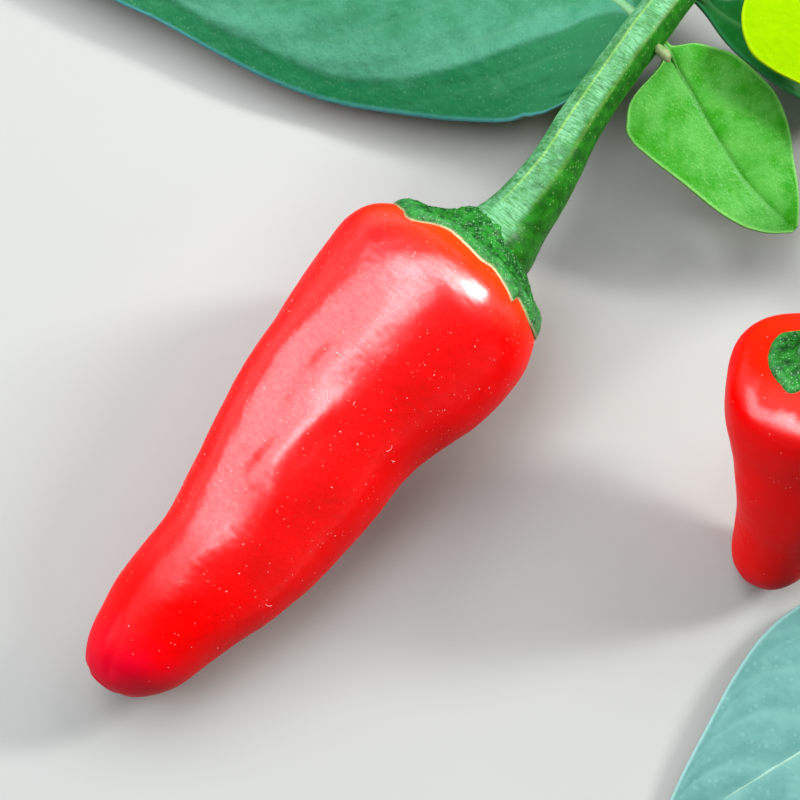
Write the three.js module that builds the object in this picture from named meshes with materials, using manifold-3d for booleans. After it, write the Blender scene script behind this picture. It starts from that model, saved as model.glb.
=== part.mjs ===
// A cut sprig of a chilli pepper plant, lying on a level surface: two ripe fruits, their green caps
// and stalks, the forked stem that bears them, and five leaves.
//
// Millimetres, +Z up. Places are worked out about a point under the middle of the large fruit, and
// the whole sprig is then shifted so that the origin is under the middle of its bounding box.
// +X runs across the sprig towards the small fruit, and +Y towards the cut end of the stem.

import * as THREE from "three";
import { mergeVertices } from "three/addons/utils/BufferGeometryUtils.js";
import Module from "manifold-3d";

const wasm = await Module();
wasm.setup();

// ---------------------------------------------------------------- driving dimensions

const PLAN_CENTRE = [2.5, 14.4]; // middle of the sprig's plan, before the shift
const JOINT_GAP = 0.3; // between one solid and the next that grows on from it

// Both fruits share one outline: [part of the length from the tip, part of the widest radius].
const FRUIT_OUTLINE = [
  [0, 0.1], [0.012, 0.22], [0.035, 0.325], [0.07, 0.415], [0.14, 0.5], [0.24, 0.58], [0.31, 0.635],
  [0.38, 0.71], [0.45, 0.78], [0.52, 0.83], [0.6, 0.855], [0.68, 0.89], [0.76, 0.955], [0.84, 1],
  [0.9, 0.985], [0.95, 0.87], [0.98, 0.69], [1, 0.45],
];

const LARGE_FRUIT = {
  tip: [-21.7, -21.2, 4.05],
  heading: 50.2, // degrees from +X towards +Y
  rise: 8.6, // degrees above the surface
  length: 42.6,
  radius: 8.9,
  // sideways drift of the fruit's middle line: [station, drift], both in millimetres
  drift: [[0, -0.7], [2.5, -0.3], [7, -0.2], [13.5, 0.45], [19.5, 0.1], [26, -0.4], [33, 0.1],
    [38, 0.4], [42.6, 0.8]],
  capShift: 0.6, // drift of the cap and stalk at the fruit's crown
  capRadius: 7.7,
  lobes: 5,
  sides: 32,
  rings: 30,
};

const SMALL_FRUIT = {
  tip: [27.3, -12, 0.65],
  heading: 80,
  rise: 57,
  length: 22,
  radius: 6.6,
  drift: [[0, 0.3], [6, -0.2], [13, 0.2], [22, 0]],
  capShift: 0,
  capRadius: 5.2,
  lobes: 5,
  sides: 24,
  rings: 22,
};

const CAP_DEPTH = 0.33; // how far the cap reaches down over the crown, as a part of its radius
const CAP_RISE = 0.2; // height of the cap's dome above the crown, as a part of its radius

// Limbs: the points that each middle line passes through, and [part of the length, radius]. A
// fruit's stalk starts on its cap, which sets the first points.
const LIMBS = {
  stalk_large: {
    fruit: LARGE_FRUIT,
    points: [[11.2, 16.7, 11.8], [13.9, 20.4, 12.2], [17.9, 26.1, 12.3]],
    radii: [[0, 3.4], [0.09, 2.85], [0.25, 2.15], [0.5, 1.86], [0.8, 1.8], [1, 1.85]],
    rings: 16,
  },
  branch_left: {
    points: [[18.1, 26.4, 12.3], [20.3, 29.7, 12.2], [23.5, 34.6, 12.1], [26.7, 39.3, 12]],
    radii: [[0, 1.85], [0.15, 1.6], [0.4, 1.42], [0.8, 1.45], [1, 1.75]],
    rings: 10,
  },
  stem: {
    points: [[27.15, 39.95, 11.9], [30, 46.5, 10.3], [33.2, 54, 6], [36, 61, 1.7]],
    radii: [[0, 1.8], [0.2, 1.6], [0.6, 1.7], [1, 1.85]],
    rings: 12,
  },
  branch_right: {
    points: [[29.1, 39.2, 11.1], [33.5, 37.2, 9.6], [38.6, 31, 9], [41, 20, 10.3]],
    radii: [[0, 1.3], [0.3, 1.15], [0.8, 1.2], [1, 1.45]],
    rings: 14,
  },
  stalk_small: {
    fruit: SMALL_FRUIT,
    points: [[31, 6.6, 22.1], [34.2, 11.2, 21.6], [38, 15.8, 17], [40.85, 19, 12]],
    radii: [[0, 1.9], [0.12, 1.35], [0.5, 1.05], [0.9, 1.1], [1, 1.4]],
    rings: 18,
  },
  petiole_corner: {
    points: [[42.6, 18.4, 10.1], [45.5, 9, 7.4], [47.4, -4, 4.4], [46.6, -14.1, 3.1]],
    radii: [[0, 1], [0.1, 0.8], [0.9, 0.7], [1, 0.8]],
    rings: 16,
  },
};
const LIMB_SIDES = 10;
const STALK_SEAT = [JOINT_GAP, 1.1]; // heights above the cap of a stalk's first two points
const RIB_DEPTH = 0.06; // of the five low ribs along a limb, as a part of its radius

// Leaves: the midrib's points from the base to the tip, the width of each half as [part of the
// length, width], the blade's thickness, the fold along the midrib (how far a margin rises for each
// millimetre of width), and how far the widest margins droop from that.
const LEAVES = {
  leaf_large: {
    points: [[20.2, 28.2, 9.7], [18.4, 30.1, 9.6], [16.2, 32, 9], [12, 34.2, 7.9], [5, 36.6, 6.7],
      [-7, 40, 5.6], [-20, 43.2, 4.5], [-33, 45.6, 3], [-43, 46.6, 1]],
    left: [[0, 0.6], [0.012, 4], [0.03, 8.9], [0.06, 10.4], [0.14, 11.2], [0.24, 12.4], [0.36, 12.8],
      [0.48, 11.6], [0.58, 10], [0.68, 8.7], [0.8, 6.2], [0.9, 3.3], [0.96, 1.4], [1, 0.4]],
    right: [[0, 0.6], [0.02, 2.4], [0.05, 5.4], [0.12, 8.8], [0.22, 11.4], [0.34, 12.8], [0.46, 12.4],
      [0.6, 10.6], [0.74, 7.8], [0.87, 4.4], [0.95, 2], [1, 0.4]],
    thickness: 0.8,
    fold: 0.1,
    droop: 4.4,
    rings: 26,
    colour: "#1f6a45",
  },
  leaf_small: {
    points: [[20.75, 26.5, 11.5], [21.5, 25.3, 10.8], [22.5, 24, 10], [24.7, 20.7, 8.5], [27.2, 17.5, 7],
      [30.8, 14.4, 5.6]],
    left: [[0, 0.6], [0.025, 1.75], [0.13, 3.65], [0.2, 4.5], [0.3, 5.3], [0.42, 5.75], [0.54, 5.5],
      [0.74, 4.3], [0.9, 2.35], [0.97, 1], [1, 0.3]],
    right: [[0, 0.6], [0.04, 1.9], [0.08, 4.3], [0.14, 6], [0.24, 6.3], [0.35, 5.8], [0.46, 5.1],
      [0.6, 4.4], [0.72, 3.75], [0.84, 2.8], [0.93, 1.6], [1, 0.3]],
    thickness: 0.8,
    fold: 0.12,
    droop: 0.5,
    rings: 24,
    colour: "#3fa63a",
  },
  leaf_yellow: {
    points: [[28.2, 38.2, 13.1], [29.2, 35.6, 13.5], [31, 31.6, 13], [33.6, 27.2, 11.8], [36.6, 21.4, 10]],
    left: [[0, 0.6], [0.08, 0.8], [0.16, 2.2], [0.28, 4.4], [0.42, 5.6], [0.56, 5.6], [0.72, 4.4],
      [0.86, 2.7], [0.95, 1.3], [1, 0.3]],
    right: [[0, 0.6], [0.08, 0.8], [0.18, 1.9], [0.3, 3.9], [0.38, 5.6], [0.5, 6.4], [0.6, 6.1],
      [0.74, 4.4], [0.87, 2.4], [0.95, 1.2], [1, 0.3]],
    thickness: 0.8,
    fold: 0.12,
    droop: 0.5,
    rings: 20,
    colour: "#a4dc1c",
  },
  leaf_back: {
    points: [[23.5, 31.6, 10.6], [25.8, 30.6, 9], [30, 29.8, 7], [36, 29.6, 4.8], [42.5, 30.8, 2.4]],
    left: [[0, 0.6], [0.06, 0.9], [0.16, 2], [0.3, 3.8], [0.5, 4.8], [0.7, 4.2], [0.86, 2.6],
      [0.95, 1.3], [1, 0.3]],
    right: [[0, 0.6], [0.06, 0.9], [0.16, 1.9], [0.3, 3.2], [0.5, 4.6], [0.7, 4.2], [0.86, 2.6],
      [0.95, 1.3], [1, 0.3]],
    thickness: 0.8,
    fold: 0.1,
    droop: 0.6,
    rings: 14,
    colour: "#1f6a45",
  },
  leaf_corner: {
    points: [[45.9, -15.1, 3.1], [42, -18.2, 3.3], [35.5, -22.4, 3.1], [27.5, -27.1, 2.4], [19.1, -32, 0.7]],
    left: [[0, 0.7], [0.04, 2], [0.12, 5.6], [0.25, 9], [0.4, 10.2], [0.55, 9.4], [0.7, 6.9],
      [0.84, 4], [0.94, 1.7], [1, 0.4]],
    right: [[0, 0.7], [0.04, 2], [0.12, 5.6], [0.25, 9], [0.4, 10.2], [0.54, 9.4], [0.64, 7.9],
      [0.76, 5.6], [0.87, 3.4], [0.94, 1.7], [1, 0.4]],
    thickness: 0.8,
    fold: 0.05,
    droop: 1.8,
    rings: 20,
    colour: "#7fbfae",
  },
};
const LEAF_SIDES = 16;
const LEAF_EDGE = 0.25; // least width of each half

// ---------------------------------------------------------------- looks

const look = (colour, roughness) => new THREE.MeshStandardMaterial({ color: colour, roughness, metalness: 0 });
const LOOKS = {
  fruit: () => look("#e01208", 0.22),
  cap: () => look("#1c6b2c", 0.5),
  limb: () => look("#4fa050", 0.5),
};

// ---------------------------------------------------------------- curves and frames

const point = ([x, y, z]) => new THREE.Vector3(x, y, z);
const curveThrough = (points) => new THREE.CatmullRomCurve3(points, false, "centripetal");

// A smooth value through [place, value] pairs.
function through(pairs) {
  const places = pairs.map(([place]) => place);
  const values = pairs.map(([, value]) => value);
  const curve = new THREE.CubicInterpolant(places, values, 1);
  return (place) => curve.evaluate(place)[0];
}

// The directions across a line and up from it, for a line that never stands upright.
function frameAt(curve, u) {
  const tangent = curve.getTangentAt(u);
  const across = new THREE.Vector3(0, 0, 1).cross(tangent).negate().normalize();
  const up = across.clone().cross(tangent);
  return { middle: curve.getPointAt(u), across, up };
}

// Rings closer together towards both ends of a piece, where its outline turns fastest.
const crowded = (y) => (1 - Math.cos(Math.PI * y)) / 2;
const even = (y) => y;

// ---------------------------------------------------------------- solids

// A closed geometry as a solid that can be joined and cut. Triangles that shrank to nothing at the
// ends of a piece are dropped.
function solidOf(geometry) {
  geometry.deleteAttribute("normal");
  geometry.deleteAttribute("uv");
  const merged = mergeVertices(geometry, 1e-4);
  const index = merged.index.array;
  const kept = [];
  for (let i = 0; i < index.length; i += 3) {
    const [a, b, c] = [index[i], index[i + 1], index[i + 2]];
    if (a !== b && b !== c && c !== a) kept.push(a, b, c);
  }
  const vertProperties = new Float32Array(merged.attributes.position.array);
  return new wasm.Manifold(new wasm.Mesh({ numProp: 3, vertProperties, triVerts: new Uint32Array(kept) }));
}

function geometryOf(solid) {
  const { vertProperties, triVerts } = solid.getMesh();
  const geometry = new THREE.BufferGeometry();
  geometry.setAttribute("position", new THREE.BufferAttribute(vertProperties, 3));
  geometry.setIndex(new THREE.BufferAttribute(triVerts, 1));
  geometry.computeVertexNormals();
  return geometry;
}

// A solid along a curve. It starts as a drum of rings, and section(u, angle) gives how far each
// point of the ring at u lies across the curve and up from it.
function loft(curve, rings, sides, spacing, section) {
  const profile = [new THREE.Vector2(0, 0)];
  for (let k = 0; k <= rings; k++) profile.push(new THREE.Vector2(1, k / rings));
  profile.push(new THREE.Vector2(0, 1));
  const geometry = new THREE.LatheGeometry(profile, sides);
  const position = geometry.attributes.position;
  const vertex = new THREE.Vector3();
  for (let i = 0; i < position.count; i++) {
    vertex.fromBufferAttribute(position, i);
    const u = spacing(THREE.MathUtils.clamp(vertex.y, 0, 1));
    const reach = Math.hypot(vertex.x, vertex.z);
    const { middle, across, up } = frameAt(curve, u);
    const [side, height] = section(u, Math.atan2(vertex.z, vertex.x));
    middle.addScaledVector(across, side * reach).addScaledVector(up, height * reach);
    position.setXYZ(i, middle.x, middle.y, middle.z);
  }
  return solidOf(geometry);
}

function mesh(name, solid, material) {
  const piece = new THREE.Mesh(geometryOf(solid), material);
  piece.name = name;
  return piece;
}

// ---------------------------------------------------------------- fruit, cap, limb and leaf

// Points along a fruit's straight axis, moved sideways by the drift at each station.
function fruitAxis({ tip, heading, rise }) {
  const turn = THREE.MathUtils.degToRad(heading);
  const lift = THREE.MathUtils.degToRad(rise);
  const along = new THREE.Vector3(Math.cos(lift) * Math.cos(turn), Math.cos(lift) * Math.sin(turn), Math.sin(lift));
  const across = new THREE.Vector3(Math.sin(turn), -Math.cos(turn), 0);
  return (station, drift) => point(tip).addScaledVector(along, station).addScaledVector(across, drift);
}

// A fruit, grown by a margin all round where it is used to hollow the cap.
function fruitSolid(fruit, growth) {
  const at = fruitAxis(fruit);
  const stretch = (station) => station + growth * (2 * (station / fruit.length) - 1);
  const curve = curveThrough(fruit.drift.map(([station, drift]) => at(stretch(station), drift)));
  const outline = through(FRUIT_OUTLINE);
  const section = (u, angle) => {
    const radius = fruit.radius * outline(u) + growth;
    return [radius * Math.cos(angle), radius * Math.sin(angle)];
  };
  return loft(curve, fruit.rings, fruit.sides, crowded, section);
}

const capTop = (fruit) => fruit.length + CAP_RISE * fruit.capRadius;

// The cap: a low dome with a scalloped margin, hollowed by the crown of the fruit under it.
function capSolid(fruit) {
  const at = fruitAxis(fruit);
  const base = fruit.length - CAP_DEPTH * fruit.capRadius;
  const top = capTop(fruit);
  const curve = new THREE.LineCurve3(at(base, fruit.capShift), at(top, fruit.capShift));
  const dome = through([[0, 1], [0.25, 0.97], [0.5, 0.84], [0.72, 0.64], [0.88, 0.5], [1, 0.42]]);
  const section = (u, angle) => {
    const scallop = 1 + 0.03 * (1 - u) * Math.cos(fruit.lobes * angle);
    const radius = fruit.capRadius * dome(u) * scallop;
    return [radius * Math.cos(angle), radius * Math.sin(angle)];
  };
  const cap = loft(curve, 8, fruit.sides, even, section);
  return cap.subtract(fruitSolid(fruit, JOINT_GAP));
}

function limbSolid({ fruit, points, radii, rings }) {
  const radiusAt = through(radii);
  const seat = fruit ? STALK_SEAT.map((height) => fruitAxis(fruit)(capTop(fruit) + height, fruit.capShift)) : [];
  const curve = curveThrough([...seat, ...points.map(point)]);
  const section = (u, angle) => {
    const radius = radiusAt(u) * (1 + RIB_DEPTH * Math.cos(5 * angle));
    return [radius * Math.cos(angle), radius * Math.sin(angle)];
  };
  return loft(curve, rings, LIMB_SIDES, even, section);
}

function leafSolid(leaf) {
  const leftWidth = through(leaf.left);
  const rightWidth = through(leaf.right);
  const widest = Math.max(...leaf.right.map(([, width]) => width));
  const section = (u, angle) => {
    const left = Math.max(LEAF_EDGE, leftWidth(u));
    const right = Math.max(LEAF_EDGE, rightWidth(u));
    const half = Math.min(leaf.thickness / 2, 0.6 * left, 0.6 * right);
    const side = Math.cos(angle);
    const reach = side * (side > 0 ? right : left);
    const lift = leaf.fold * Math.abs(reach) - leaf.droop * (reach / widest) ** 2;
    return [reach, half * Math.sin(angle) + lift];
  };
  return loft(curveThrough(leaf.points.map(point)), leaf.rings, LEAF_SIDES, crowded, section);
}

// ---------------------------------------------------------------- the sprig

const sprig = new THREE.Group();

for (const [size, fruit] of [["large", LARGE_FRUIT], ["small", SMALL_FRUIT]]) {
  sprig.add(mesh(`fruit_${size}`, fruitSolid(fruit, 0), LOOKS.fruit()));
  sprig.add(mesh(`calyx_${size}`, capSolid(fruit), LOOKS.cap()));
}
for (const [name, limb] of Object.entries(LIMBS)) {
  sprig.add(mesh(name, limbSolid(limb), LOOKS.limb()));
}
for (const [name, leaf] of Object.entries(LEAVES)) {
  sprig.add(mesh(name, leafSolid(leaf), look(leaf.colour, 0.55)));
}
sprig.position.set(-PLAN_CENTRE[0], -PLAN_CENTRE[1], 0);

export default sprig;
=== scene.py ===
"""Cut sprig of a chilli pepper plant: detailed skins, caps, stalks and leaves around its frame."""

import bisect
import math
import random

import bmesh
import bpy
from mathutils import Matrix, Quaternion, Vector, noise


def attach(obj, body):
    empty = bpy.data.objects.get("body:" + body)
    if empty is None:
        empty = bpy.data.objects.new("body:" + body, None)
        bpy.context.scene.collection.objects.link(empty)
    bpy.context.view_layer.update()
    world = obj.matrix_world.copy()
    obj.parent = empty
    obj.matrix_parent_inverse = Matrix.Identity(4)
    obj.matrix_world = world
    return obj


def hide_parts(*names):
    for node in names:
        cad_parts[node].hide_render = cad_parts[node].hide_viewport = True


bl_info = {
    "name": "Chilli Sprig",
    "version": (1, 0, 0),
    "blender": (4, 5, 0),
    "location": "View3D > Sidebar > Sprig",
    "description": "Models a cut sprig of a chilli pepper plant, piece by piece",
    "category": "Object",
}

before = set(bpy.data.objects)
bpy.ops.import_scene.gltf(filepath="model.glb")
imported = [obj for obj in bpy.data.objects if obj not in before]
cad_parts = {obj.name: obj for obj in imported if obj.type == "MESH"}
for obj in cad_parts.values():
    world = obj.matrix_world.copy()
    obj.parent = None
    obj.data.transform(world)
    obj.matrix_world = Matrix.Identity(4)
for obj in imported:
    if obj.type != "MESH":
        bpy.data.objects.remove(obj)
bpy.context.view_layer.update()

# ---------------------------------------------------------------- places and sizes

# The sprig is laid out in millimetres about a point under the large fruit. PLAN_CENTRE is the
# middle of its plan, which comes to the origin.
MM = 0.001
PLAN_CENTRE = Vector((2.5, 14.4, 0.0))
WELD = 1e-6  # vertices closer than this are one
UV_NAME = "UVMap"

# Both fruits share one outline: (part of the length from the tip, part of the widest radius).
FRUIT_OUTLINE = [
    (0, 0), (0.0005, 0.1), (0.012, 0.22), (0.035, 0.325), (0.07, 0.415), (0.14, 0.5), (0.24, 0.58),
    (0.31, 0.635), (0.38, 0.71), (0.45, 0.78), (0.52, 0.83), (0.6, 0.855), (0.68, 0.89),
    (0.76, 0.955), (0.84, 1), (0.9, 0.985), (0.95, 0.87), (0.98, 0.69), (1, 0.45), (1.002, 0.2),
    (1, 0),
]

# Soft hollows (and, where the depth is negative, swellings) of the fruits' skins: station, turn
# round the fruit in degrees, reach along, reach around, slant in degrees, depth.
LARGE_HOLLOWS = [
    (21.4, 102, 2.3, 0.8, -18, 0.36), (25.0, 107, 2.3, 0.8, -16, 0.4),
    (28.6, 112, 2.1, 0.85, -10, 0.36), (23.6, 86, 3.0, 0.8, -18, -0.24),
    (28.0, 98, 3.0, 0.8, -12, -0.2), (18.6, 80, 2.2, 0.8, 30, -0.22),
    (17.4, 104, 2.2, 1.5, 0, 0.34), (19.6, 48, 2.6, 1.5, 0, 0.3), (12.6, 46, 2.0, 1.4, 0, 0.24),
    (2.4, 96, 1.6, 0.32, 25, 0.14), (2.6, 60, 1.6, 0.8, 0, -0.1),
    (12.0, 75, 1.7, 1.1, 0, 0.2), (33.5, 40, 4.0, 2.2, 0, 0.14), (34.0, 150, 3.5, 2.2, 0, 0.16),
    (15.0, 140, 3.0, 1.6, 0, 0.16), (21.0, 180, 5.2, 3.0, 0, 0.62), (10.5, 0, 5.6, 2.6, 0, -0.5),
    (32.0, 0, 2.5, 2.6, 0, -0.34), (40.0, 0, 2.2, 3.0, 0, 0.35), (40.8, 172, 2.0, 3.6, 0, -0.6),
    (27.0, -60, 4.0, 2.2, 0, 0.3), (16.0, -110, 3.2, 1.8, 0, 0.3), (34.0, -140, 3.6, 2.4, 0, 0.25),
    (7.0, 100, 2.4, 1.0, 0, -0.1),
]
SMALL_HOLLOWS = [
    (11.0, 100, 2.2, 1.3, 0, 0.28), (13.5, 20, 2.4, 1.4, 0, 0.24), (8.0, -80, 2.0, 1.2, 0, 0.22),
    (7.0, 180, 3.8, 3.2, 0, 0.6), (11.5, 180, 2.8, 3.0, 0, 0.8), (19.0, 180, 2.4, 3.0, 0, 0.55),
    (20.0, -90, 2.4, 4.0, 0, -1.1),
]

# The fruits. drift: how far the middle line strays sideways, as (station, drift); shift: how far the
# cap and the stalk sit sideways from it; spread: how far the cap reaches, as a part of the usual;
# blush: how orange the crown is; grid: the rings and sides of the skin, and the sides of the cap.
FRUITS = {
    "large": {
        "tip": (-21.7, -21.2, 4.05), "heading": 50.2, "rise": 8.6, "length": 42.6, "radius": 8.9,
        "drift": [(0, -0.7), (2.5, -0.3), (7, -0.2), (13.5, 0.45), (19.5, 0.1), (26, -0.4), (33, 0.1),
                  (38, 0.4), (42.6, 0.8)],
        "hollows": LARGE_HOLLOWS, "shift": 0.7, "spread": 1.0, "blush": 1.0, "grid": (320, 290, 320),
    },
    "small": {
        "tip": (27.3, -12, 0.65), "heading": 80, "rise": 57, "length": 22, "radius": 6.6,
        "drift": [(0, 0.5), (6, 0.6), (13, 0.4), (22, 0)],
        "hollows": SMALL_HOLLOWS, "shift": 0.5, "spread": 0.76, "blush": 0.25, "grid": (170, 150, 200),
    },
}

# The dust on the large fruit: the radii of its specks, and its fibres.
SPECK_SIZES = (0.01, 0.012, 0.015, 0.018, 0.022, 0.028, 0.045)
FIBRE_COUNT, FIBRE_RADIUS, DUST_SEED = 7, 0.014, 11
SKIN_RUN = 56  # about the way along the large fruit's skin, from its tip to its crown

# The cap's section from its hidden underside, over its margin, to the stalk, on the large fruit:
# (height above the skin, reach from the axis, how much it follows the margin).
CAP_SECTION = [
    (-1.0, 0, 0), (-0.9, 3.0, 0), (-0.7, 4.9, 0.5), (-0.3, 6.2, 1), (-0.02, 6.42, 1), (0.12, 6.4, 1),
    (0.32, 6.3, 1), (0.56, 5.98, 1), (0.57, 5.45, 0.9), (0.48, 4.95, 0.65), (0.75, 4.3, 0.25),
    (1.4, 3.5, 0), (2.3, 2.7, 0), (2.4, 0, 0),
]
CAP_PLAIN_REACH = 6.3
CAP_RINGS = 170

# The margin's reach from the axis on the large fruit: (turn in degrees, reach).
CAP_MARGIN = [
    (-170, 7.0), (-148, 6.9), (-125, 6.0), (-100, 6.2), (-75, 6.9), (-50, 6.1), (-25, 6.6), (-8, 7.3),
    (10, 7.5), (24, 7.3), (34, 6.7), (38, 6.5), (41, 6.7), (45, 7.15), (50, 6.8), (56, 6.4), (64, 5.95),
    (75, 6.2), (87, 5.9), (100, 5.6), (112, 5.75), (117, 6.5), (120, 7.1), (137, 7.35), (155, 7.3),
    (173, 7.1),
]

# Limbs: points of the middle line, (station, radius) pairs, how far a side swells out at a station,
# and the rings and sides of the skin. A stalk starts on its fruit's crown, at its seat's (height
# above the crown, place sideways), and goes on along its points.
NO_SWELL = [(0, 0), (1, 0)]
LIMBS = {
    "main_stalk": {
        "fruit": "large", "seat": ((0.4, 0.85), (1.9, 1.05), (3.3, 1.1)),
        "points": [(11.2, 16.7, 11.8), (13.6, 20.6, 12.2), (17.55, 26.35, 12.3), (20.1, 29.8, 12.2),
                   (23.65, 34.5, 12.1), (26.7, 39.3, 12.0), (30, 46.5, 10.3), (33.2, 54, 6),
                   (36, 61, 1.7)],
        "radii": [(0, 3.45), (1.4, 3.08), (2.6, 2.6), (4.2, 2.2), (6.5, 1.96), (9.5, 1.76), (13, 1.7),
                  (18, 1.64), (22, 1.7), (25, 1.6), (29, 1.45), (34, 1.5), (37.5, 1.95), (40, 1.7),
                  (48, 1.6), (56, 1.7), (64, 1.85)],
        "swell": [(0, 0.3), (2.6, 0.5), (5.5, 0.55), (9, 0.3), (13, 0.05), (18, 0), (64, 0)],
        "grid": (420, 96), "replaces": ["stalk_large", "branch_left", "stem"],
    },
    "small_stalk": {
        "fruit": "small", "seat": ((0.2, 0.5), (1.3, 0.45), (2.4, 0.3)),
        "points": [(31, 6.6, 22.1), (34.2, 11.2, 21.6), (38, 15.8, 17), (40.85, 19, 12),
                   (41.2, 20.4, 10.6)],
        "radii": [(0, 2.3), (1.2, 2.0), (3.2, 1.4), (7, 1.12), (12, 1.02), (18, 1.1), (22, 1.35),
                  (24, 1.5)],
        "swell": NO_SWELL, "grid": (200, 60), "replaces": ["stalk_small"],
    },
    "side_branch": {
        "points": [(26.6, 40, 11.7), (29.1, 39.2, 11.1), (33.5, 37.2, 9.6), (38.6, 31, 9),
                   (41, 20, 10.3), (41.6, 18.8, 10.6)],
        "radii": [(0, 1.5), (2.6, 1.35), (6, 1.16), (14, 1.12), (22, 1.25), (26.5, 1.55), (28, 1.3)],
        "swell": NO_SWELL, "grid": (200, 60), "replaces": ["branch_right"],
    },
    "corner_petiole": {
        "points": [(41.2, 20, 10.4), (42.6, 18.4, 10.1), (45.5, 9, 7.4), (47.4, -4, 4.4),
                   (46.6, -14.1, 3.1), (45.2, -15.6, 3.0)],
        "radii": [(0, 1.3), (2, 1.0), (4, 0.8), (30, 0.7), (38, 0.78)],
        "swell": NO_SWELL, "grid": (200, 48), "replaces": ["petiole_corner"],
    },
}

# Ridges of a limb: (turn in degrees, reach around in radians, strength).
RIDGES = ((63, 0.13, 0.5), (117, 0.055, 1.0), (176, 0.07, 0.6), (234, 0.08, 0.7), (292, 0.09, 0.7),
          (355, 0.09, 0.6))
SHEEN_FACE = (60, 76, 176, 196)  # degrees round a limb where its pale bloom, painted as a sheen on its upper side, starts and ends

# The bud in the small leaf's corner: points of its middle line, and (part of the way, radius).
AXIL_BUD = [(19.4, 26.7, 12.5), (19.8, 26.3, 12.8), (20.2, 25.85, 12.75), (20.55, 25.45, 12.45)]
AXIL_BUD_RADII = [(0, 0.28), (0.3, 0.4), (0.6, 0.42), (0.88, 0.24), (1, 0.03)]
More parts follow.
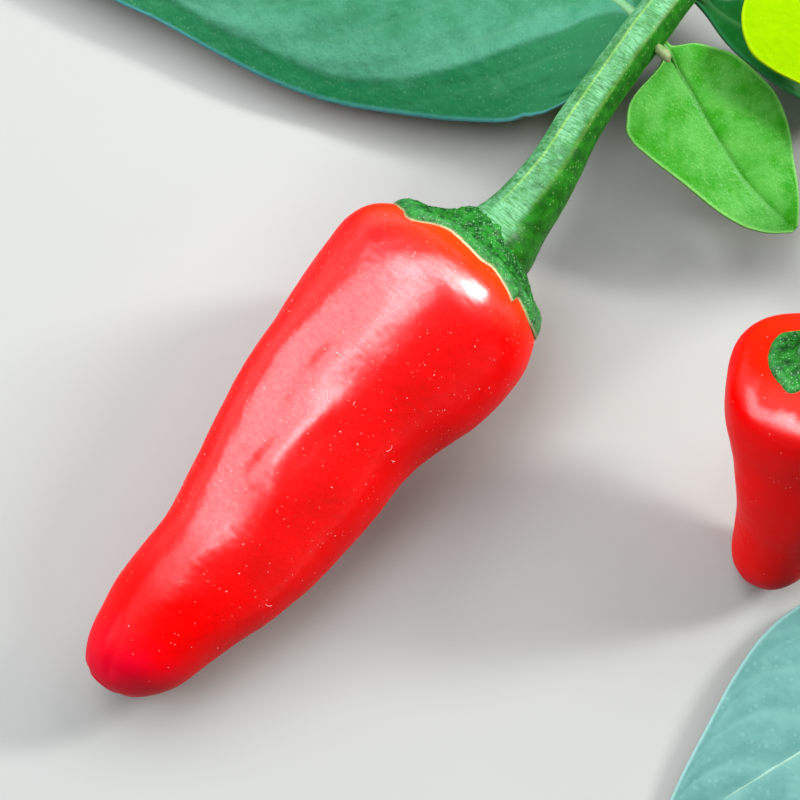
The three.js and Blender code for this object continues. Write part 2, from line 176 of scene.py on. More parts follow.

# Leaves: the midrib's points from base to tip, each half's (part of the length, width), the large
# leaf's arc, past which the blade turns down and is painted darker as shade, the fold along the
# midrib, how far the widest margins droop, the veins of a side and the length that they share, how
# much the blade swells between them (where it is also painted lighter, as light), the midrib's
# radius, and the rows along and across.
LEAVES = {
    "large": {
        "points": [(20.2, 28.2, 9.7), (18.65, 30.25, 9.65), (16.7, 32.4, 9.1), (12.6, 34.9, 8),
                   (5.3, 37.3, 6.75), (-7, 40.4, 5.6), (-20, 43.2, 4.5), (-33, 45.6, 3),
                   (-43, 46.6, 1)],
        "left": [(0, 0.6), (0.01, 4.6), (0.02, 8.0), (0.032, 9.75), (0.048, 10.6), (0.07, 11.05),
                 (0.1, 11.35), (0.15, 12.1), (0.22, 12.7), (0.27, 13.1), (0.325, 13.3), (0.375, 13.35),
                 (0.42, 13.2), (0.47, 12.7), (0.52, 11.85), (0.573, 10.75), (0.622, 9.7),
                 (0.665, 8.95), (0.74, 7.4), (0.82, 5.5), (0.9, 3.3), (0.96, 1.4), (1, 0.4)],
        "right": [(0, 0.6), (0.02, 2.4), (0.05, 5.4), (0.12, 8.8), (0.22, 11.4), (0.34, 12.8),
                  (0.46, 12.4), (0.6, 10.6), (0.74, 7.8), (0.87, 4.4), (0.95, 2), (1, 0.4)],
        "arc": [(0, 0), (0.05, 0.3), (0.075, 1.8), (0.1, 3.9), (0.14, 5.7), (0.19, 7.4), (0.23, 8.7),
                (0.27, 9.95), (0.31, 10.85), (0.355, 11.4), (0.4, 11.5), (0.44, 11.15), (0.49, 10.4),
                (0.55, 9.3), (0.63, 7.4), (0.73, 5.2), (0.87, 2.4), (1, 0.1)],
        "fold": 0.1, "droop": 4.4, "veins": 8, "span": 60, "quilt": 0.3, "rib": 0.36, "grid": (340, 124),
        "look": "dark",
    },
    "small": {
        "points": [(20.0, 27.2, 11.9), (20.75, 26.5, 11.5), (21.5, 25.3, 10.8), (22.5, 24, 10),
                   (24.7, 20.7, 8.5), (27.2, 17.5, 7), (30.8, 14.4, 5.6)],
        "left": [(0, 0.5), (0.045, 0.7), (0.08, 2.15), (0.18, 3.95), (0.245, 4.7), (0.34, 5.35),
                 (0.45, 5.75), (0.565, 5.5), (0.755, 4.3), (0.905, 2.35), (0.97, 1), (1, 0.3)],
        "right": [(0, 0.5), (0.055, 0.6), (0.095, 1.9), (0.13, 4.1), (0.19, 5.8), (0.28, 6.15),
                  (0.385, 5.6), (0.49, 4.8), (0.62, 3.95), (0.735, 3.3), (0.85, 2.5), (0.935, 1.5),
                  (1, 0.3)],
        "fold": 0.12, "droop": 0.5, "veins": 5, "span": 17, "quilt": 0.12, "rib": 0.17, "grid": (200, 130),
        "look": "bright",
    },
    "yellow": {
        "points": [(27.4, 39.2, 12.4), (28.2, 38.2, 13.1), (29.2, 35.6, 13.5), (31, 31.6, 13),
                   (33.6, 27.2, 11.8), (36.6, 21.4, 10)],
        "left": [(0, 0.5), (0.06, 0.5), (0.14, 0.8), (0.21, 2.2), (0.33, 4.4), (0.46, 5.6), (0.59, 5.6),
                 (0.74, 4.4), (0.87, 2.7), (0.955, 1.3), (1, 0.3)],
        "right": [(0, 0.5), (0.06, 0.5), (0.14, 0.8), (0.23, 1.9), (0.34, 3.9), (0.42, 5.6), (0.53, 6.4),
                  (0.63, 5.7), (0.76, 3.9), (0.88, 2.1), (0.955, 1.1), (1, 0.3)],
        "fold": 0.12, "droop": 0.5, "veins": 5, "span": 17, "quilt": 0.2, "rib": 0.3, "grid": (170, 100),
        "look": "young",
    },
    "back": {
        "points": [(22.3, 32.4, 11.3), (23.5, 31.6, 10.6), (25.8, 30.6, 9), (30, 29.8, 7),
                   (36, 29.6, 4.8), (42.5, 30.8, 2.4)],
        "left": [(0, 0.5), (0.07, 0.6), (0.13, 0.9), (0.22, 2), (0.35, 3.8), (0.53, 4.8), (0.72, 4.2),
                 (0.87, 2.6), (0.955, 1.3), (1, 0.3)],
        "right": [(0, 0.5), (0.07, 0.6), (0.13, 0.9), (0.22, 1.9), (0.35, 3.2), (0.53, 4.6), (0.72, 4.2),
                  (0.87, 2.6), (0.955, 1.3), (1, 0.3)],
        "fold": 0.1, "droop": 0.6, "veins": 5, "span": 17, "quilt": 0.5, "rib": 0.34, "grid": (140, 80),
        "look": "back",
    },
    "corner": {
        "points": [(45.9, -15.1, 3.1), (42, -18.2, 3.3), (35.5, -22.4, 3.1), (27.5, -27.1, 2.4),
                   (19.1, -32, 0.7)],
        "left": [(0, 0.7), (0.04, 2), (0.12, 5.6), (0.25, 9), (0.4, 10.2), (0.55, 9.4), (0.7, 6.9),
                 (0.84, 4), (0.94, 1.7), (1, 0.4)],
        "right": [(0, 0.7), (0.04, 2), (0.12, 5.3), (0.25, 8.2), (0.4, 9.4), (0.54, 8.8), (0.64, 7.4),
                  (0.76, 5.2), (0.87, 3.1), (0.94, 1.6), (1, 0.4)],
        "fold": 0.05, "droop": 1.8, "veins": 6, "span": 17, "quilt": 0.6, "rib": 0.45, "grid": (190, 120),
        "look": "pale",
    },
}

# What the leaves look like: the colours of paler patches, which also paint light on the swellings,
# the band painted darker as shade, veins, the rim painted as a highlight, underside and the midrib's
# groove, painted as shade on the small leaf, how fine the stipple is, whose pale dots are painted
# glints, and the two colours of the petiole and midrib.
LEAF_LOOKS = {
    "dark": {
        "light": (0.06, 0.26, 0.15), "shade_band": (0.009, 0.155, 0.048), "vein": (0.10, 0.30, 0.17),
        "rim": (0.07, 0.29, 0.30), "under": (0.10, 0.26, 0.12), "grain": 3200.0,
        "rib": ((0.2, 0.46, 0.2), (0.14, 0.38, 0.15)), "slot": "leaf_dark",
    },
    "back": {
        "light": (0.02, 0.24, 0.045), "vein": (0.06, 0.28, 0.08), "rim": (0.03, 0.24, 0.08),
        "under": (0.10, 0.26, 0.12), "grain": 1800.0,
        "rib": ((0.06, 0.3, 0.07), (0.05, 0.26, 0.06)), "slot": "leaf_dark",
    },
    "bright": {
        "light": (0.115, 0.42, 0.075), "vein": (0.25, 0.56, 0.12), "rim": (0.16, 0.46, 0.09),
        "under": (0.14, 0.36, 0.1), "groove_shade": (0.010, 0.12, 0.004), "grain": 4600.0, "gloss": 0.2,
        "rib": ((0.03, 0.21, 0.012), (0.06, 0.29, 0.03)), "slot": "leaf_bright",
    },
    # The young leaf's colours are painted bright, partly to stand in for light shining through it.
    "young": {
        "light": (0.29, 0.50, 0.0008), "vein": (0.33, 0.52, 0.004), "rim": (0.33, 0.52, 0.004),
        "under": (0.36, 0.55, 0.05), "grain": 2600.0, "gloss": 0.0,
        "rib": ((0.34, 0.52, 0.01), (0.3, 0.48, 0.005)), "slot": "leaf_young",
    },
    "pale": {
        "light": (0.13, 0.32, 0.285), "vein": (0.20, 0.42, 0.36), "rim": (0.26, 0.48, 0.44),
        "under": (0.18, 0.36, 0.28), "grain": 1900.0,
        "rib": ((0.26, 0.48, 0.38), (0.2, 0.4, 0.3)), "slot": "leaf_pale",
    },
}

# The stage. The camera and the lights aim at one place; a light has a direction from it, width and
# height in metres, power in watts, a turn about its heading in degrees, and a colour.
AIM = (0, 0, 8)
CAMERA_LIFT, CAMERA_DISTANCE, FOCAL_LENGTH = 75, 167, 100.0
SKY_COLOUR, SKY_STRENGTH = (0.86, 0.93, 0.95, 1.0), 0.03
PANEL_DISTANCE = 0.42
PANELS = (
    ("top_panel", (-0.24, 0.10, 0.97), (0.40, 0.20), 1.28, 0, (0.92, 0.94, 1.0)),
    ("side_panel", (-0.74, 0.24, 0.62), (0.42, 0.36), 1.16, 0, (0.91, 0.93, 1.0)),
    ("rear_panel", (0.0, 0.62, 0.76), (0.42, 0.16), 0.95, 0, (0.92, 0.94, 1.0)),
    ("shoulder_panel", (0.52, 0.46, 0.72), (0.17, 0.17), 0.48, 0, (0.95, 0.96, 1.0)),
    ("gleam", (0.80, 0.30, 0.54), (0.05, 0.12), 1.6, -45, (1.0, 1.0, 1.0)),
)

# ---------------------------------------------------------------- lines and smooth values


def spot(point):
    """A place of the layout, in metres in the shared frame."""
    return (Vector(point) - PLAN_CENTRE) * MM


def smooth_step(low, high, value):
    """0 below low, 1 above high, and a smooth rise between them."""
    part = min(max((value - low) / (high - low), 0.0), 1.0)
    return part * part * (3 - 2 * part)


def bell(offset, reach):
    """1 at no offset, falling to nothing a few reaches away."""
    return math.exp(-0.5 * (offset / reach) ** 2)


def turn_between(turn, other):
    """The turn from one angle to another, in radians, the short way round."""
    return (turn - other + math.pi) % (2 * math.pi) - math.pi


def through(pairs):
    """A smooth value through (place, value) pairs."""
    places = [float(place) for place, _ in pairs]
    values = [float(value) for _, value in pairs]
    rises = [(values[i + 1] - values[i]) / (places[i + 1] - places[i]) for i in range(len(pairs) - 1)]
    spans = [there - here for here, there in zip(places, places[1:])]
    slopes = [(rises[i] * spans[i + 1] + rises[i + 1] * spans[i]) / (spans[i] + spans[i + 1])
              for i in range(len(rises) - 1)]
    slopes = [rises[0], *slopes, rises[-1]]

    def value(place):
        i = min(max(bisect.bisect_right(places, place) - 1, 0), len(pairs) - 2)
        span = places[i + 1] - places[i]
        t = min(max((place - places[i]) / span, 0.0), 1.0)
        near, far = (1 + 2 * t) * (1 - t) ** 2, t * t * (3 - 2 * t)
        lean = t * (1 - t) ** 2 * slopes[i] - t * t * (1 - t) * slopes[i + 1]
        return near * values[i] + far * values[i + 1] + span * lean

    return value


def uneven(place, *waves):
    """Noise at a place, added up from waves of (height, fineness)."""
    return sum(height * noise.noise(place * fineness) for height, fineness in waves)


class Course:
    """A smooth line through points, measured along its own length."""

    STEPS = 40

    def __init__(self, points):
        points = [Vector(point) for point in points]
        ends = [2 * points[0] - points[1], *points, 2 * points[-1] - points[-2]]
        self.places = [points[0]]
        for i in range(len(points) - 1):
            self.places += [self._between(*ends[i:i + 4], step / self.STEPS)
                            for step in range(1, self.STEPS + 1)]
        self.stations = [0.0]
        for here, there in zip(self.places, self.places[1:]):
            self.stations.append(self.stations[-1] + (there - here).length)
        self.length = self.stations[-1]

    @staticmethod
    def _between(before, start, end, after, part):
        knots = [0.0]
        for here, there in ((before, start), (start, end), (end, after)):
            knots.append(knots[-1] + max((there - here).length, 1e-9) ** 0.5)
        t = knots[1] + part * (knots[2] - knots[1])

        def mix(a, b, low, high):
            return (a * (high - t) + b * (t - low)) / (high - low)

        first = mix(before, start, knots[0], knots[1])
        second = mix(start, end, knots[1], knots[2])
        third = mix(end, after, knots[2], knots[3])
        return mix(mix(first, second, knots[0], knots[2]), mix(second, third, knots[1], knots[3]),
                   knots[1], knots[2])

    def at(self, part):
        """The place at a part of the length."""
        station = min(max(part, 0.0), 1.0) * self.length
        i = min(max(bisect.bisect_right(self.stations, station) - 1, 0), len(self.places) - 2)
        span = self.stations[i + 1] - self.stations[i]
        return self.places[i].lerp(self.places[i + 1], (station - self.stations[i]) / span)

    def frame(self, part, reach=0.004):
        """The place at a part of the length, with the directions across the line and up from it."""
        low, high = max(part - reach, 0.0), min(part + reach, 1.0)
        along = (self.at(high) - self.at(low)).normalized()
        across = along.cross(Vector((0, 0, 1))).normalized()
        return self.at(part), across, across.cross(along)


def round_line(line_frame, radius, turn):
    """A place round a line, in metres, from the line's frame, a radius and a turn."""
    middle, across, up = line_frame
    return spot(middle + across * (radius * math.cos(turn)) + up * (radius * math.sin(turn)))


def remembered(make):
    """The same function, with each ring's answer worked out once."""
    answers = {}

    def lookup(part):
        key = round(part, 7)
        if key not in answers:
            answers[key] = make(part)
        return answers[key]

    return lookup


# ---------------------------------------------------------------- meshes


def shaped_grid(rings, sides, marks, shape):
    """A grid whose points are moved to shape(u, v), which also gives the values of its marks."""
    bm = bmesh.new()
    bm.loops.layers.uv.new(UV_NAME)
    bmesh.ops.create_grid(bm, x_segments=rings, y_segments=sides, size=0.5, calc_uvs=True)
    layers = [bm.verts.layers.float.new(mark) for mark in marks]
    for vertex in bm.verts:
        place, values = shape(vertex.co.x + 0.5, vertex.co.y + 0.5)
        vertex.co = place
        for layer, value in zip(layers, values):
            vertex[layer] = value
    return bm


def closed_roll(rings, sides, marks, shape):
    """A grid rolled into a tube, with its seam and poles welded and any open end filled."""
    bm = shaped_grid(rings, sides, marks, shape)
    bmesh.ops.remove_doubles(bm, verts=bm.verts, dist=WELD)
    open_edges = [edge for edge in bm.edges if edge.is_boundary]
    if open_edges:
        bmesh.ops.holes_fill(bm, edges=open_edges, sides=0)
    bmesh.ops.recalc_face_normals(bm, faces=bm.faces)
    return bm


def add_object(name, data):
    """An object of some data, in the scene."""
    made = bpy.data.objects.new(name, data)
    bpy.context.scene.collection.objects.link(made)
    return made


def finish_piece(name, bm, material, replaced=()):
    """Makes a piece of a bmesh, and says what it rides on, stands for and is finished as."""
    mesh = bpy.data.meshes.new(name)
    bm.to_mesh(mesh)
    bm.free()
    mesh.materials.append(material)
    mesh.shade_smooth()
    piece = add_object(name, mesh)
    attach(piece, "root")
    if replaced:
        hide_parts(*replaced)


# ---------------------------------------------------------------- fruit and cap


def fruit_axes(fruit):
    """A fruit's directions along, across and up."""
    turn, lift = math.radians(fruit["heading"]), math.radians(fruit["rise"])
    along = Vector((math.cos(lift) * math.cos(turn), math.cos(lift) * math.sin(turn), math.sin(lift)))
    across = Vector((math.sin(turn), -math.cos(turn), 0))
    return along, across, across.cross(along)


def fruit_point(fruit, station, side, height):
    """A place of the layout given along, across and up from a fruit's tip."""
    along, across, up = fruit_axes(fruit)
    return Vector(fruit["tip"]) + along * station + across * side + up * height


def hollow_depth(hollows, station, turn, radius):
    """How far the skin lies below its round shape."""
    depth = 0.0
    for middle, at_turn, reach_along, reach_around, slant, deep in hollows:
        along = station - middle
        around = turn_between(turn, math.radians(at_turn)) * radius
        if abs(along) > 4 * reach_along + 3 or abs(around) > 4 * reach_around + 3:
            continue
        lean = math.radians(slant)
        straight = along * math.cos(lean) + around * math.sin(lean)
        sideways = around * math.cos(lean) - along * math.sin(lean)
        depth += deep * bell(straight, reach_along) * bell(sideways, reach_around)
    return depth


def skin_relief(fruit, station, turn, radius):
    """How far the skin stands out from its outline: lobes, hollows, soft waves and the tip's scar."""
    part = station / fruit["length"]
    place = Vector((station, radius * math.cos(turn), radius * math.sin(turn)))
    lobes = 0.012 * radius * math.cos(5 * turn - 0.6) * smooth_step(0.55, 0.95, part)
    waves = uneven(place, (0.13, 0.16), (0.05, 0.42))
    round_strokes = Vector((station * 3.4, place.y * 0.9, place.z * 0.9))
    fine = uneven(place, (0.016, 1.4), (0.006, 3.4)) + uneven(round_strokes, (0.010, 1.0))
    fine *= smooth_step(0.0, 0.2, part)
    body = (lobes + waves + fine) * smooth_step(0.0, 2.5, radius)
    folds = math.cos(9 * turn + 2 * math.sin(2 * turn))
    pucker = 0.035 * folds * bell(radius - 2.0, 0.5) * (part < 0.1)
    scar = -0.16 * bell(radius - 1.55, 0.22) * (part < 0.05)
    return body - hollow_depth(fruit["hollows"], station, turn, radius) + scar + pucker


def skin_section(fruit):
    """A fruit's outline: its station and radius at a part of the way from tip to crown."""
    outline = Course([(part * fruit["length"], reach * fruit["radius"], 0)
                      for part, reach in FRUIT_OUTLINE])
    return remembered(lambda u: outline.at(u).xy)


def skin_place(fruit):
    """The skin's place and its own middle line's place, at a part of the way and a turn."""
    section = skin_section(fruit)
    drift = through(fruit["drift"])

    def place(u, turn):
        station, radius = section(u)
        if radius > 1e-6:
            radius = max(radius + skin_relief(fruit, station, turn, radius), 0.02)
        side = drift(station)
        middle = fruit_point(fruit, station, side, 0)
        skin = fruit_point(fruit, station, side + radius * math.cos(turn), radius * math.sin(turn))
        return skin, middle

    return place


def fruit_skin(fruit):
    """One fruit's closed skin."""
    section, place = skin_section(fruit), skin_place(fruit)

    def shape(u, v):
        along = section(u)[0] / fruit["length"]
        crown = smooth_step(0.89, 1.0, along) * fruit["blush"]
        return spot(place(u, 2 * math.pi * v)[0]), (along, crown)

    return closed_roll(*fruit["grid"][:2], ("along", "crown"), shape)


def crown_line(fruit):
    """The skin's height above the crown at a reach from the axis and a turn."""
    section = skin_section(fruit)
    pairs = [(0.0, fruit["length"])]
    for step in range(1, 80):
        station, radius = section(1 - 0.24 * step / 80)
        if radius > pairs[-1][0] + 0.05:
            pairs.append((radius, station))
    station_at = through(pairs)

    def height(reach, turn):
        relief = skin_relief(fruit, station_at(reach), turn, reach)
        return station_at(max(reach - relief, 0.0)) - fruit["length"]

    return height


def cap_shell(fruit):
    """The green cap on a fruit's crown, with its wavy, thickened margin."""
    size = fruit["radius"] / FRUITS["large"]["radius"]
    section = remembered(Course(CAP_SECTION).at)
    first, last = CAP_MARGIN[0], CAP_MARGIN[-1]
    margin = through([(last[0] - 360, last[1]), *CAP_MARGIN, (first[0] + 360, first[1])])
    skin_height = crown_line(fruit)

    def shape(u, v):
        lift, reach, follow = section(u)
        turn = 2 * math.pi * v
        degrees = math.degrees(turn_between(turn, 0.0))
        lobe = margin(degrees) - CAP_PLAIN_REACH
        lobe += 0.05 * noise.noise(Vector((9 * math.cos(turn), 9 * math.sin(turn), 2.0)))
        reach_here = max(reach + follow * lobe, 0.0) * size * fruit["spread"]
        rim = follow * bell(lift - 0.06, 0.06) * (reach > 6.25)
        lip = follow * bell(reach - 6.0, 0.3) * smooth_step(0.1, 0.3, lift)
        place = Vector((lift, reach_here * math.cos(turn), reach_here * math.sin(turn)))
        if lift > 0.1 and reach > 0.01:
            bumps = uneven(place, (0.14, 1.1), (0.13, 2.6), (0.09, 5.5))
            lift += bumps * smooth_step(0.1, 0.4, lift)
        base = skin_height(reach_here, turn)
        side = fruit["shift"] + reach_here * math.cos(turn)
        up = reach_here * math.sin(turn)
        station = fruit["length"] + base + size * lift
        rim *= 0.35 + 0.65 * bell(turn_between(turn, math.radians(80)), 0.5)
        return spot(fruit_point(fruit, station, side, up)), (rim, lip)

    return closed_roll(CAP_RINGS, fruit["grid"][2], ("rim", "lip"), shape)


def fibre(points, radius):
    """One thin closed fibre along a few points."""
    course = Course(points)
    frame_at = remembered(course.frame)

    def shape(u, v):
        thick = radius * smooth_step(0.0, 0.15, u) * smooth_step(1.0, 0.85, u)
        return round_line(frame_at(u), thick, 2 * math.pi * v), ()

    return closed_roll(9, 5, (), shape)


def add_speck(bm, draw, skin, outward):
    """One speck that lies on the skin."""
    size = draw.choice(SPECK_SIZES) * MM
    turned = outward.to_track_quat("Z", "Y").to_matrix().to_4x4()
    spun = Matrix.Rotation(draw.uniform(0, math.pi), 4, "Z")
    shaped = Matrix.Diagonal((1.0, draw.uniform(0.6, 1.7), 0.6, 1.0))
    bmesh.ops.create_icosphere(bm, subdivisions=1, radius=size,
                               matrix=Matrix.Translation(spot(skin)) @ turned @ spun @ shaped)


def fibre_points(draw, skin_at):
    """Points of one bent fibre, which arches a little off the skin."""
    u, turn = draw.uniform(0.15, 0.85), math.radians(draw.uniform(10, 150))
    bend, length = draw.uniform(-1.2, 1.2), draw.uniform(0.4, 0.9)
    heading = draw.uniform(0, 2 * math.pi)
    for step in range(5):
        part = step / 4 * length
        along = part * math.cos(heading + bend * part)
        around = part * math.sin(heading + bend * part)
        skin, middle = skin_at(u + along / SKIN_RUN, turn + around / (FRUITS["large"]["radius"] * 0.8))
        yield skin + (skin - middle).normalized() * (0.01 + 0.05 * math.sin(math.pi * step / 4))


def fruit_dust(fruit, speck_count):
    """Tiny pale specks and fibres that lie on a fruit's skin."""
    draw = random.Random(DUST_SEED)
    skin_at = skin_place(fruit)
    bm = bmesh.new()
    for _ in range(speck_count):
        skin, middle = skin_at(draw.triangular(0.1, 0.93, 0.62), math.radians(draw.uniform(-25, 205)))
        add_speck(bm, draw, skin, (skin - middle).normalized())
    for _ in range(FIBRE_COUNT):
        thread = bpy.data.meshes.new("fibre")
        made = fibre(list(fibre_points(draw, skin_at)), FIBRE_RADIUS)
        made.to_mesh(thread)
        made.free()
        bm.from_mesh(thread)
        bpy.data.meshes.remove(thread)
    return bm


# ---------------------------------------------------------------- limbs


def limb_skin(course, limb):
    """A ribbed stalk or branch along a line, with marks for its ridges and for its face, where a pale
    sheen is painted.
    """
    radius_at, swell_at = through(limb["radii"]), through(limb["swell"])
    frame_at = remembered(course.frame)
    ridges = [(math.radians(turn), reach, strength) for turn, reach, strength in RIDGES]
    starts, full, fades, ends = SHEEN_FACE

    def shape(u, v):
        frame_here = frame_at(u)
        turn = 2 * math.pi * v
        station = u * course.length
        radius = radius_at(station)
        wander = 0.05 * math.sin(station * 0.35)
        clear = smooth_step(0.5, 7.0, station)
        ridge = clear * sum(strength * bell(turn_between(turn, at + wander), reach)
                            for at, reach, strength in ridges)
        nearest = min(abs(turn_between(turn, at + wander)) for at, _, _ in ridges)
        degrees = math.degrees(turn) + 5 * noise.noise(Vector((station * 0.5, turn, 1.0)))
        # The face, on the limb's upper side, is where a pale sheen is painted.
        face = smooth_step(starts, full, degrees) * smooth_step(ends, fades, degrees)
        radius *= 0.975 + 0.045 * (1 - nearest / math.radians(30)) + 0.025 * ridge
        radius += uneven(frame_here[0], (0.02, 2.3), (0.03, 0.7))
        radius += swell_at(station) * max(math.cos(turn), 0.0) ** 1.5
        return round_line(frame_here, radius, turn), (min(ridge, 1.0), face)

    return closed_roll(*limb["grid"], ("ridge", "face"), shape)


def axil_bud():
    """The small dry bud where the small leaf joins the main stalk."""
    course = Course(AXIL_BUD)
    frame_at = remembered(course.frame)
    radius_at = through(AXIL_BUD_RADII)

    def shape(u, v):
        turn = 2 * math.pi * v
        lumps = 0.09 * math.cos(3 * turn + 5 * u) + 0.12 * noise.noise(Vector((u * 6, turn, 0)))
        return round_line(frame_at(u), radius_at(u) * (1 + lumps), turn), (u,)

    return closed_roll(40, 28, ("along",), shape)


# ---------------------------------------------------------------- leaves


def vein_pattern(leaf, u, reach, width):
    """How much of a vein there is at a place, and how far the blade swells between veins."""
    side = abs(reach) / max(width, 0.3)
    count = leaf["veins"]
    offset = 0.0 if reach > 0 else 0.45
    wander = 0.05 * noise.noise(Vector((u * 9, side * 3, 4.0 + offset)))
    phase = count * (u - 0.10 * side - 0.26 * side * side - 0.02) + offset + wander * 2
    nearest = abs(phase - round(phase))
    line = bell(nearest * leaf["span"] / count * 0.75, 0.16 + 0.10 * (1 - side))
    line *= (1 - 0.55 * smooth_step(0.55, 0.95, side)) * smooth_step(0.04, 0.1, u)
    loop_side = 0.80 - 0.05 * math.cos(2 * math.pi * phase)
    loop = 0.6 * bell((side - loop_side) * width, 0.15) * smooth_step(0.06, 0.15, u)
    loop *= 1 - smooth_step(0.85, 0.95, u)
    swell = math.sin(math.pi * phase) ** 2 * smooth_step(0.02, 0.25, side)
    swell *= 1 - smooth_step(loop_side - 0.06, loop_side + 0.06, side)
    return max(line, loop), swell


def leaf_blade(leaf, thickness, vein_depth):
    """A leaf's blade: a closed thin sheet, quilted between its veins."""
    course = Course(leaf["points"])
    frame_at = remembered(lambda u: course.frame(u, 0.045))
    arc = through(leaf["arc"]) if "arc" in leaf else None
    left, right = through(leaf["left"]), through(leaf["right"])
    widths = remembered(lambda u: (max(left(u), 0.25), max(right(u), 0.25)))
    widest = max(width for _, width in leaf["right"])
    scale = min(course.length / 40.0, 1.4)

    def shape(u, v):
        middle, across, up = frame_at(u)
        side = 2 * v - 1
        width = widths(u)[1 if side > 0 else 0]
        reach = side * width
        ruffle = 0.22 * scale * noise.noise(Vector((u * course.length * 0.14, side * 0.8, 7.0)))
        lift = leaf["fold"] * abs(reach) - leaf["droop"] * (reach / widest) ** 2
        lift += ruffle * smooth_step(0.35, 1.0, abs(side)) * smooth_step(0.0, 3.0, width)
        vein, swell = vein_pattern(leaf, u, reach, width)
        rib = bell(reach, 0.07 + 0.5 * leaf["rib"]) * (1 - 0.6 * u)
        open_part = smooth_step(1.0, 4.0, width)
        place = Vector((u * course.length, reach, 0.0))
        crinkle = uneven(place, (0.05, 0.9), (0.028, 2.4))
        crinkle *= smooth_step(-0.05, 0.18, u) * (0.2 + 0.8 * smooth_step(0.2, 2.0, abs(reach)))
        relief = leaf["quilt"] * (0.16 * swell - 0.06 * vein) + crinkle
        shade_band = 0.0
        # On the large leaf the blade swells up inside its arc, where it is painted lighter as light, and
        # beyond the arc it turns down into a band painted darker as shade.
        if arc:
            edge = arc(u) + 0.12 * noise.noise(Vector((u * 30, side, 3.0)))
            shade_band = smooth_step(edge - 0.3, edge + 0.45, abs(reach)) * smooth_step(0.2, 1.4, width - edge)
            swell = 0.3 * swell + smooth_step(edge - 4.4, edge - 0.6, abs(reach)) * (1 - shade_band)
            relief += 0.1 * swell - 0.05 * max(abs(reach) - edge, 0.0)
        lift += vein_depth * scale * open_part * relief
        lift -= vein_depth * 0.10 * rib
        # The rim mark paints a highlight along the margin.
        rim = smooth_step(0.36, 0.05, (1 - abs(side)) * width)
        point = middle + across * reach + up * lift
        if not arc:
            swell *= leaf["quilt"]
        return spot(point), (vein * open_part * leaf["quilt"], rib, rim, swell * open_part, shade_band, 0.0)

    marks = ("vein", "rib", "rim", "swell", "shade_band", "under")
    bm = shaped_grid(*leaf["grid"], marks, shape)
    bmesh.ops.recalc_face_normals(bm, faces=bm.faces)
    if sum(face.normal.z for face in bm.faces) < 0:
        bmesh.ops.reverse_faces(bm, faces=bm.faces)
    bmesh.ops.solidify(bm, geom=bm.faces[:], thickness=thickness)
    bmesh.ops.recalc_face_normals(bm, faces=bm.faces)
    bm.normal_update()
    vein_layer = bm.verts.layers.float["vein"]
    under_layer = bm.verts.layers.float["under"]
    for vertex in bm.verts:
        if vertex.normal.z < 0:
            vertex[under_layer] = 1.0
            vertex.co += vertex.normal * (0.12 * MM * vertex[vein_layer] * vein_depth)
    return bm


def leaf_rib(leaf):
    """The petiole and midrib, a tapering line that stands out under the blade and a little above."""
    course = Course(leaf["points"])
    frame_at = remembered(course.frame)
    full = leaf["rib"]
    radius_at = through([(0, full * 1.35), (0.05, full * 1.1), (0.2, full * 0.85), (0.6, full * 0.5),
                         (0.9, full * 0.24), (0.97, 0.05), (1, 0.03)])

    def shape(u, v):
        part = u * 0.985
        middle, across, up = frame_at(part)
        turn = 2 * math.pi * v
        radius = radius_at(part)
        sunk = 0.24 * smooth_step(0.04, 0.14, part) + 0.42 * radius * smooth_step(0.02, 0.12, part)
        side = radius * math.cos(turn)
        height = radius * (0.8 if math.sin(turn) > 0 else 1.0) * math.sin(turn) - sunk + 0.12
        return spot(middle + across * side + up * height), (1.0 if math.sin(turn) < 0 else 0.0,)

    return closed_roll(120, 20, ("under",), shape)


# ---------------------------------------------------------------- materials


